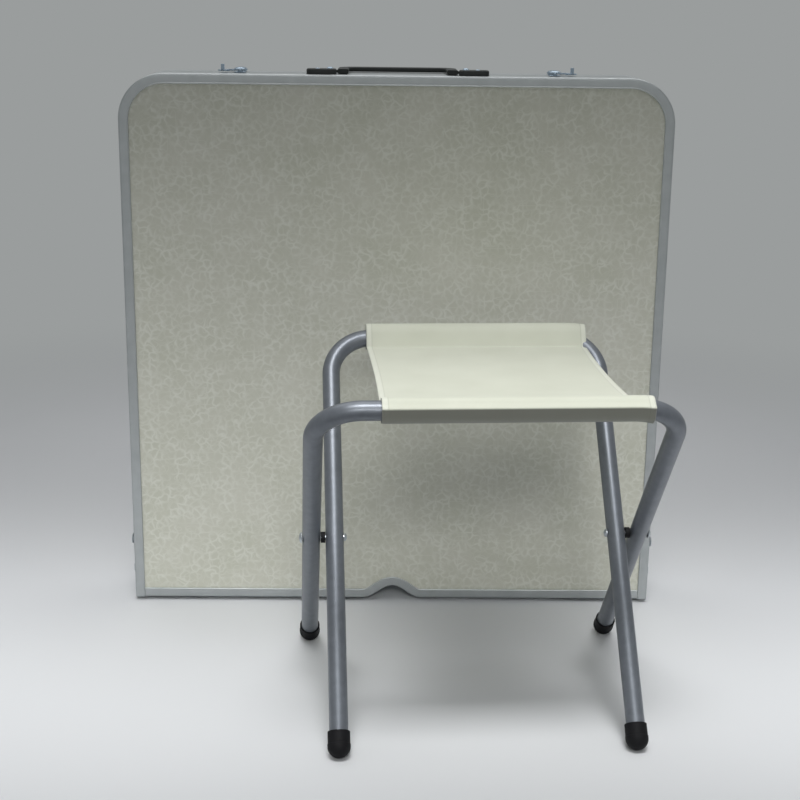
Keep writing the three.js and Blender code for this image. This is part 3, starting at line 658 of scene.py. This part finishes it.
def cut_by(target, shape, place):
    """Takes a shape away from a piece for good."""
    tool = placed("tool", solid_mesh("tool", shape, place))
    cut = target.modifiers.new("cut", "BOOLEAN")
    cut.operation = "DIFFERENCE"
    cut.solver = "EXACT"
    cut.object = tool
    frozen(target)
    bpy.data.objects.remove(tool)


# Case: rails, board, hinges
def rail_section(flange):
    """The rail's outline from its face towards the parting, u inwards and v to the rear."""
    bead = [(LIP_WIDTH - BEAD_WIDTH * (1 - i / BEAD_STEPS), -BEAD_HEIGHT * math.sin(math.pi * i / BEAD_STEPS))
            for i in range(BEAD_STEPS + 1)]
    points = [*arc(RAIL_ROUND, RAIL_ROUND, RAIL_ROUND, 2 * QUARTER, 3 * QUARTER, RAIL_ROUND_STEPS), *bead,
              (LIP_WIDTH, RAIL_WALL), (RAIL_WALL, RAIL_WALL),
              (RAIL_WALL, SEAT_LIP), (SEAT_LIP_WIDTH, SEAT_LIP), (SEAT_LIP_WIDTH, SEAT_LIP + RAIL_WALL),
              (RAIL_WALL, SEAT_LIP + RAIL_WALL), (RAIL_WALL, RAIL_DEPTH - RAIL_WALL),
              (flange, RAIL_DEPTH - RAIL_WALL), (flange, RAIL_DEPTH), (0, RAIL_DEPTH)]
    return [(u, v - TRAY_DEPTH) for u, v in points]


def notch_point(share):
    """A point of the bell-shaped notch, share running from half to minus half across it."""
    return NOTCH_WIDTH * share, BOTTOM + NOTCH_DEPTH / 2 * (1 + math.cos(2 * math.pi * share))


edge_path = [(-HALF_WIDTH, BOTTOM), *bent_round(HALF_WIDTH, TOP, CORNER_RADIUS, CORNER_STEPS),
             (HALF_WIDTH, BOTTOM)]
centre_end = HALF_WIDTH - LIP_WIDTH - GAP
pocket_reach = LEAF_LENGTH / 2 + POCKET_OVERRUN
centre_path = [(centre_end, BOTTOM), *(notch_point(0.5 - i / NOTCH_STEPS) for i in range(NOTCH_STEPS + 1)),
               (-centre_end, BOTTOM)]

dressed(board, "front_panel", "rear_panel")
for half, tray in TRAY.items():
    for rail, path, flange in (("edge", edge_path, EDGE_FLANGE), ("centre", centre_path, CENTRE_FLANGE)):
        made = piece(f"{half}_{rail}_rail_smooth", swept(path, rail_section(flange)), tray, anodised,
                     f"case_{half}", f"{half}_{rail}_rail", sharp=RAIL_SHARP)
        for _, side in SIDES:
            pocket = rod(BARREL_RADIUS + GAP, side * HINGE_OFFSET - pocket_reach,
                         side * HINGE_OFFSET + pocket_reach, "x", 0, BARREL_RADIUS)
            cut_by(made, pocket, tray)


def leaf_shape(own):
    """A hinge leaf with its own knuckles of a row of three, and room for those of the other leaf."""
    knuckle = LEAF_LENGTH / 3
    top = BOTTOM + CENTRE_FLANGE
    outline = [(LEAF_LENGTH / 2, top), (-LEAF_LENGTH / 2, top)]
    for i in range(3):
        low = (i - 1.5) * knuckle
        level, inset = (BARREL_RADIUS, 0) if i in own else (BARREL_RADIUS * 2 + GAP, -GAP / 2)
        outline += [(low + (inset if i > 0 else 0), level), (low + knuckle - (inset if i < 2 else 0), level)]
    leaf = plate(outline, -LEAF_GAP - LEAF_THICKNESS, -LEAF_GAP, "y")
    barrels = [rod(BARREL_RADIUS, (i - 1.5) * knuckle + GAP / 2, (i - 0.5) * knuckle - GAP / 2, "x", 0,
                   BARREL_RADIUS) for i in own]
    return together(leaf, *barrels)


for half, facing, own in (("front", 1, (0, 2)), ("rear", -1, (1,))):
    for name, side in SIDES:
        piece(f"{half}_hinge_leaf_{name}_smooth", moved(leaf_shape(own), facing * side * HINGE_OFFSET),
              TRAY[half], zinc_plate, f"case_{half}", f"{half}_hinge_leaf_{name}")

# Carrying handle with its two mounts
roof = TOP + GAP + MOUNT_HEIGHT
handle_level = TOP + GAP + HANDLE_RISE
handle_y = -TRAY_DEPTH + HANDLE_SETBACK
handle_start = handle_y - HANDLE_END
handle_path = [(-HANDLE_ARM, handle_start),
               *bent_round(HANDLE_ARM, handle_y + HANDLE_REACH, HANDLE_CORNER, HANDLE_STEPS),
               (HANDLE_ARM, handle_start)]
handle_ring = rounded(HANDLE_WIDTH, HANDLE_THICKNESS, HANDLE_THICKNESS * HANDLE_ROUND_SHARE)
handle_bow = loft([[(x + s.x * u, y + s.y * u, handle_level + v) for u, v in handle_ring]
                   for (x, y), s in zip(handle_path, sideways(handle_path))])
mount_start = HANDLE_ARM + HANDLE_WIDTH / 2 + HANDLE_SIDE_GAP
handle_pins = [rod(HANDLE_PIN_RADIUS, side * HANDLE_ARM, side * (mount_start + HANDLE_PIN_LENGTH),
                   "x", handle_y, handle_level) for _, side in SIDES]
piece("carry_handle_moulded", together(handle_bow, *handle_pins), CASE, handle_plastic, "handle",
      "carry_handle", bevel=MOULDED_EDGE)
for name, side in SIDES:
    middle = side * (mount_start + MOUNT_LENGTH / 2)
    levels = [(0, TOP + GAP), *((inset, roof - depth) for inset, depth in MOUNT_EDGE)]
    block = loft([[(u, v, z) for u, v in rounded(MOUNT_LENGTH - 2 * inset, MOUNT_WIDTH - 2 * inset,
                                                 MOUNT_CORNER - inset, middle, handle_y)]
                  for inset, z in levels])
    piece(f"handle_mount_{name}_moulded", block, CASE, handle_plastic, "case_front",
          f"handle_mount_{name}", sharp=MOUNT_SHARP)
    heads = []
    for radius, height, inset in ((CAP_RADIUS, CAP_HEIGHT, CAP_INSET),
                                  (SCREW_RADIUS, SCREW_HEIGHT, SCREW_INSET)):
        head = turned([(radius, -RIVET_ROOT), *dome(radius, height, 0)])
        heads.append(moved(head, side * (mount_start + inset), handle_y, roof))
    piece(f"handle_mount_{name}_rivets", together(*heads), CASE, blue_zinc, "case_front",
          f"handle_mount_{name}")

# Latches
stud_base = TOP + GAP + STUD_BASE
hook_low = stud_base + HOOK_RUN_GAP
hook_top = hook_low + HOOK_THICKNESS
stud_head = hook_top + HOOK_RUN_GAP
stud_shape = turned([(STUD_RADIUS - STUD_EDGE, TOP + GAP), (STUD_RADIUS, TOP + GAP + STUD_EDGE),
                     (STUD_RADIUS, stud_base - STUD_EDGE), (STUD_RADIUS - STUD_EDGE, stud_base),
                     (STUD_NECK_RADIUS, stud_base), (STUD_NECK_RADIUS, stud_head),
                     (STUD_RADIUS, stud_head), *dome(STUD_RADIUS, STUD_HEAD, stud_head + GAP)])
stud_distance = 2 * STUD_SETBACK
reach = stud_distance + HOOK_PAST_STUD
slot_half = STUD_NECK_RADIUS + SLOT_PLAY
hook_outline = [*arc(0, 0, HOOK_HALF_WIDTH, -2 * QUARTER, 0, END_STEPS),
                (HOOK_HALF_WIDTH, stud_distance - slot_half),
                *arc(0, stud_distance, slot_half, -QUARTER, -3 * QUARTER, SLOT_STEPS),
                (HOOK_HALF_WIDTH, stud_distance + slot_half),
                (HOOK_HALF_WIDTH, reach), (-HOOK_HALF_WIDTH, reach)]
tab_half = HOOK_TAB_WIDTH / 2
tab_outline = [(-tab_half, reach - HOOK_THICKNESS), (tab_half, reach - HOOK_THICKNESS),
               (tab_half, reach), (-tab_half, reach)]
for name, side in SIDES:
    piece(f"latch_stud_{name}_smooth", moved(stud_shape, side * LATCH_OFFSET, -STUD_SETBACK), CASE, blue_zinc,
          "case_front", f"latch_stud_{name}")
    spin = (CASE @ Matrix.Translation((side * LATCH_OFFSET, STUD_SETBACK, 0))
            @ Matrix.Rotation(side * HOOK_SWING, 4, "Z"))
    strip = plate([(-side * x, -y) for x, y in hook_outline], hook_low, hook_top, "z")
    tab = plate([(x, -y) for x, y in tab_outline], hook_low, hook_low + HOOK_TAB_HEIGHT, "z")
    boss = turned([(HOOK_BOSS_RADIUS, TOP + GAP), (HOOK_BOSS_RADIUS, hook_top),
                   *dome(HOOK_BOSS_RADIUS, BOSS_DOME, hook_top + GAP)])
    piece(f"latch_hook_{name}_smooth", together(strip, tab, boss), spin, blue_zinc, f"latch_hook_{name}",
          f"latch_hook_{name}", bevel=SHEET_EDGE)

# Side bolts
bolt_middle = -TRAY_DEPTH / 2
bolt_low = BOTTOM + BOLT_FOOT
bolt_top = bolt_low + BOLT_LENGTH
end_radius = BOLT_WIDTH / 2
bolt_outline = [*arc(bolt_middle, bolt_low + end_radius, end_radius, -math.pi, 0, END_STEPS),
                *arc(bolt_middle, bolt_top - end_radius, end_radius, 0, math.pi, END_STEPS)]
neck_radius = KNOB_RADIUS * KNOB_NECK_SHARE
rim = KNOB_HEIGHT * KNOB_RIM_HEIGHT_SHARE
knob_shape = turned([(neck_radius, 0), (neck_radius, KNOB_HEIGHT * KNOB_NECK_HEIGHT_SHARE),
                     *dome(KNOB_RADIUS, KNOB_HEIGHT - rim, rim)], "x")
bolt_inside = HALF_WIDTH + GAP
for name, side in SIDES:
    strip = plate(bolt_outline, *sorted((side * bolt_inside, side * (bolt_inside + BOLT_THICKNESS))), "x")
    knob = moved(knob_shape, side * (bolt_inside + BOLT_THICKNESS / 2), bolt_middle,
                 bolt_top - KNOB_BELOW_TOP, side)
    piece(f"side_bolt_{name}_smooth", together(strip, knob), CASE, zinc_plate, f"side_bolt_{name}",
          f"side_bolt_{name}", bevel=SHEET_EDGE)

# Legs, inside the case
leg_level = TOP - LEG_DROP
pin_reach = LEG_RADIUS + GAP + LINK_THICKNESS
bar_inset = LEG_RADIUS - LEG_WALL
tube_low = LEG_TOP_OVERHANG - LEG_TUBE_LENGTH
foot_mouth = INNER_LEG_RADIUS + GAP
foot_floor = -INNER_LEG_END - GAP
foot_top = FOOT_LENGTH - LEG_REACH
leg_foot = turned([(0, -LEG_REACH), (LEG_RADIUS - LEG_FOOT_ROUND, -LEG_REACH),
                   (LEG_RADIUS - LEG_FOOT_EDGE, LEG_FOOT_EDGE - LEG_REACH),
                   (LEG_RADIUS, LEG_FOOT_ROUND - LEG_REACH), (LEG_RADIUS, foot_top),
                   (foot_mouth, foot_top), (foot_mouth, foot_floor), (0, foot_floor)])
for half, facing in (("front", 1), ("rear", -1)):
    offset = LEG_OFFSET[half]
    seat = TRAY[half] @ Matrix.Translation((0, -LEG_SETBACK, leg_level))
    bar_end = offset - bar_inset
    parts = [tube([(-bar_end, -CROSSBAR_DROP), (bar_end, -CROSSBAR_DROP)], CROSSBAR_RADIUS, LEG_WALL)]
    for _, side in SIDES:
        x = side * offset
        parts.append(tube([(x, LEG_TOP_OVERHANG), (x, tube_low)], LEG_RADIUS, LEG_WALL))
        parts.append(rod(LINK_PIN_RADIUS, side * (offset + bar_inset), side * (offset + pin_reach),
                         "x", 0, -STAY_ON_LEG))
    piece(f"{half}_leg_frame_smooth", together(*parts), seat, tube_paint, f"{half}_legs",
          f"{half}_leg_frame")
    for name, side in SIDES:
        x = facing * side * offset
        lower_leg = tube([(x, -INNER_LEG_START), (x, -INNER_LEG_END)], INNER_LEG_RADIUS, LEG_WALL)
        body = f"{half}_inner_leg_{name}"
        piece(f"{body}_smooth", lower_leg, seat, anodised, body, body)
        piece(f"{half}_leg_foot_{name}_smooth", moved(leg_foot, x), seat, rubber, body,
              f"{half}_leg_foot_{name}")
for node in ("hinge_pin", "bolt_guide", "bolt_keeper", "front_leg_bracket", "rear_leg_bracket",
             "front_stay_leg_link", "front_stay_tray_link", "rear_stay_leg_link", "rear_stay_tray_link"):
    dressed(zinc_plate, *(f"{node}_{name}" for name, _ in SIDES))

# Stool frames, feet, bolts and spacers
tube_end = STOOL_FOOT_FLOOR - TO_FOOT
skirt = STOOL_FOOT_LENGTH - STOOL_FOOT_RADIUS
foot_dome = dome(STOOL_FOOT_RADIUS, STOOL_FOOT_RADIUS, 0, FOOT_STEPS)
foot_tip = [(radius, -height) for radius, height in reversed(foot_dome)]
upper_radius = STOOL_FOOT_RADIUS - FOOT_BAND_DEPTH
stool_mouth = STOOL_TUBE + GAP
stool_foot = turned([*foot_tip, (STOOL_FOOT_RADIUS, FOOT_BAND_START), (upper_radius, FOOT_BAND_END),
                     (upper_radius, skirt - FOOT_MOUTH_EDGE), (STOOL_FOOT_RADIUS - FOOT_MOUTH_INSET, skirt),
                     (stool_mouth, skirt), (stool_mouth, STOOL_FOOT_FLOOR - GAP),
                     (0, STOOL_FOOT_FLOOR - GAP)])
for kind, place in FRAMES.items():
    half = SPACING[kind] / 2
    path = [(-half, tube_end), *bent_round(half, TO_BAR, BEND[kind], CORNER_STEPS), (half, tube_end)]
    piece(f"stool_{kind}_frame_smooth", tube(path, STOOL_TUBE, STOOL_WALL), place, tube_paint,
          f"stool_{kind}", f"stool_{kind}_frame")
    for name, side in SIDES:
        piece(f"stool_{kind}_foot_{name}_smooth", moved(stool_foot, side * half, 0, -TO_FOOT), place, rubber,
              f"stool_{kind}", f"stool_{kind}_foot_{name}")

bolt_head = SPACING["outer"] / 2 + STOOL_TUBE + GAP
bolt_nut = SPACING["inner"] / 2 - STOOL_TUBE - GAP
nut_dome = dome(NUT_RADIUS, BOLT_HEAD_HEIGHT, 0)
nut_tip = [(radius, bolt_nut - height) for radius, height in reversed(nut_dome)]
pivot_bolt = turned([*nut_tip, (STOOL_BOLT_RADIUS, bolt_nut), (STOOL_BOLT_RADIUS, bolt_head),
                     (BOLT_HEAD_RADIUS, bolt_head),
                     *dome(BOLT_HEAD_RADIUS, BOLT_HEAD_HEIGHT, bolt_head)], "x")
spacer_start = SPACING["inner"] / 2 + STOOL_TUBE + GAP
spacer_end = SPACING["outer"] / 2 - STOOL_TUBE - GAP
spacer_bore = STOOL_BOLT_RADIUS + GAP
spacer = turned([(spacer_bore, spacer_start), (SPACER_RADIUS, spacer_start),
                 (SPACER_RADIUS, spacer_end), (spacer_bore, spacer_end)], "x")
for name, side in SIDES:
    for kind, shape, material, slot in (("pivot_bolt", pivot_bolt, zinc_plate, "steel"),
                                        ("spacer", spacer, rubber, "rubber")):
        piece(f"stool_{kind}_{name}_smooth", moved(shape, mirror=side), FRAMES["outer"], material,
              "stool_outer", f"stool_{kind}_{name}")


# Seat sling: one sheet on that line, as wide as each bar's hem
def bar_drop(x, kind):
    """How far a bar has dropped at x, where its bends start."""
    past = max(abs(x) - (SPACING[kind] / 2 - BEND[kind]), 0)
    return BEND[kind] - math.sqrt(max(BEND[kind] ** 2 - past ** 2, 0))


def sling_sheet():
    """The sheet's points, their places on the flat cloth in metres and how far each is from a side edge."""
    points, flat, from_edge = [], [], []
    for (y, z, share, follows), along in zip(sling_line, sling_lengths):
        blend = (share + 1) / 2
        middle = 1 - share ** 2
        width = HEM_LENGTH["outer"] * (1 - blend) + HEM_LENGTH["inner"] * blend
        width -= 2 * SLING_DRAW_IN * middle
        shift = HEM_SHIFT["outer"] * (1 - blend) + HEM_SHIFT["inner"] * blend
        kind = "outer" if share < 0 else "inner"
        for j in range(ACROSS_STEPS + 1):
            x = shift + width * (j / ACROSS_STEPS - 0.5)
            to_middle = 1 - abs(2 * j / ACROSS_STEPS - 1)
            ripple = RIPPLE_HEIGHT * math.sin(x / RIPPLE_LENGTH + RIPPLE_DRIFT * share)
            ripple *= middle * math.sin(math.pi * blend) * (RIPPLE_MIDDLE_SHARE + to_middle)
            points.append((x, y, z - bar_drop(x, kind) * follows + ripple))
            flat.append((x * MM, along * MM))
            from_edge.append(width * min(j, ACROSS_STEPS - j) / ACROSS_STEPS)
    return points, flat, from_edge


def sling_object():
    """The sling as an object: the sheet given its thickness and rounded once."""
    points, flat, from_edge = sling_sheet()
    size = ACROSS_STEPS + 1
    faces = [(r * size + c, r * size + c + 1, (r + 1) * size + c + 1, (r + 1) * size + c)
             for r in range(len(sling_line) - 1) for c in range(ACROSS_STEPS)]
    mesh = bpy.data.meshes.new("seat_sling_cloth")
    mesh.from_pydata([STOOL @ Vector(point) for point in points], [], faces)
    uv = mesh.uv_layers.new(name="UVMap")
    for loop in mesh.loops:
        uv.data[loop.index].uv = flat[loop.vertex_index]
    mesh.attributes.new("from_edge", "FLOAT", "POINT").data.foreach_set("value", from_edge)
    mesh.materials.append(canvas)
    mesh.shade_smooth()
    made = placed("seat_sling_cloth", mesh)
    thickness = made.modifiers.new("thickness", "SOLIDIFY")
    thickness.thickness = SLING_THICKNESS * MM
    thickness.offset = 1
    smooth = made.modifiers.new("smooth", "SUBSURF")
    smooth.levels = smooth.render_levels = 1
    frozen(made)
    return made


sling = sling_object()
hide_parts("seat_sling")
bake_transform(sling)


# Pale floor that fades into a plain grey backdrop, light and camera
BACKDROP = (154, 157, 157)
FLOOR = ((212, 214, 216), (217, 219, 221))
# Metres: half the floor's side, the place that the floor fades round, and where the fade starts and ends
FLOOR_HALF = 8
FADE_PLACE = (0, 0.1, 0)
FADE_NEAR = 0.7
FADE_FAR = 1.7
WORLD_TINT = (0.93, 0.96, 1, 1)
WORLD_STRENGTH = 0.15


def seen_directly(tree):
    """1 for rays that look at the backdrop, straight or by way of metal, and 0 for its light."""
    path = tree.nodes.new("ShaderNodeLightPath")
    share = path.outputs["Is Camera Ray"]
    for kind in ("Is Glossy Ray", "Is Transmission Ray"):
        larger = tree.nodes.new("ShaderNodeMath")
        larger.operation = "MAXIMUM"
        tree.links.new(share, larger.inputs[0])
        tree.links.new(path.outputs[kind], larger.inputs[1])
        share = larger.outputs[0]
    return share


def mixed_shaders(tree, share, first, second, output):
    """Sends a mix of two shaders to the output node."""
    both = tree.nodes.new("ShaderNodeMixShader")
    for socket, value in zip(both.inputs, (share, first.outputs[0], second.outputs[0])):
        tree.links.new(value, socket)
    tree.links.new(both.outputs[0], tree.nodes[output].inputs[0])


def stage():
    """The floor, painted pale near the object and shown as the plain backdrop further out."""
    mesh = bpy.data.meshes.new("stage")
    corners = [(FLOOR_HALF * x, FLOOR_HALF * y, 0) for x, y in ((-1, -1), (1, -1), (1, 1), (-1, 1))]
    mesh.from_pydata(corners, [], [(0, 1, 2, 3)])
    made = Finish("stage_paint", 0.9)
    mesh.materials.append(made.done(made.mix(made.noise(1.5, 2), *FLOOR)))
    distance = made.add("ShaderNodeVectorMath", {"operation": "DISTANCE"})
    made.feed(distance.inputs[0], made.place)
    made.feed(distance.inputs[1], FADE_PLACE)
    fade = made.add("ShaderNodeMapRange", {"interpolation_type": "SMOOTHSTEP"},
                    Value=distance.outputs["Value"], From_Min=FADE_NEAR, From_Max=FADE_FAR)
    share = made.math("MULTIPLY", fade.outputs[0], seen_directly(made.tree))
    plain = made.add("ShaderNodeEmission", Color=linear(BACKDROP))
    mixed_shaders(made.tree, share, made.shader, plain, "Material Output")
    placed("stage", mesh)


def lamp(name, place, target, size, power, spread):
    """An area lamp aimed at a target, in metres, watts and degrees."""
    light = bpy.data.lights.new(name, "AREA")
    light.shape = "RECTANGLE"
    light.size, light.size_y = size
    light.energy = power
    light.spread = math.radians(spread)
    made = placed(name, light)
    made.location = place
    made.rotation_euler = (Vector(target) - Vector(place)).to_track_quat("-Z", "Y").to_euler()


def surroundings():
    """A faint cool world light, and the plain backdrop where the world is looked at."""
    world = bpy.data.worlds.new("studio")
    bpy.context.scene.world = world
    world.use_nodes = True
    tree = world.node_tree
    faint = tree.nodes["Background"]
    faint.inputs[0].default_value = WORLD_TINT
    faint.inputs[1].default_value = WORLD_STRENGTH
    backdrop = tree.nodes.new("ShaderNodeBackground")
    backdrop.inputs[0].default_value = linear(BACKDROP)
    mixed_shaders(tree, seen_directly(tree), faint, backdrop, "World Output")


stage()
lamp("key", place=(0, -0.54, 1.6), target=(0, -0.08, 0), size=(2.4, 0.3), power=3.1, spread=38)
lamp("fill", place=(0, -2.2, 1.4), target=(0, 0.15, -0.08), size=(2.4, 0.5), power=1.7, spread=30)
lamp("back", place=(0, 0.75, 1.75), target=(0, 0.75, 0), size=(2.4, 0.8), power=7, spread=120)
surroundings()

# The photo's camera, fitted to the case: place in the case's millimetres, then its angles and lens
CAMERA_PLACE = (-22.4, -1628.1, 685.6)
CAMERA_TURN = math.radians(1.04)
CAMERA_PITCH = math.radians(15.44)
CAMERA_ROLL = math.radians(0.73)
CAMERA_LENS = 65.75
CAMERA_SENSOR = 36
camera_data = bpy.data.cameras.new("camera")
camera_data.lens = CAMERA_LENS
camera_data.sensor_width = CAMERA_SENSOR
camera = placed("camera", camera_data)
camera.matrix_world = (Matrix.Translation(CASE @ Vector(CAMERA_PLACE))
                       @ Matrix.Rotation(-CAMERA_TURN, 4, "Z")
                       @ Matrix.Rotation(QUARTER - CAMERA_PITCH, 4, "X")
                       @ Matrix.Rotation(CAMERA_ROLL, 4, "Z"))
bpy.context.scene.camera = camera
bpy.context.scene.view_settings.view_transform = "Standard"
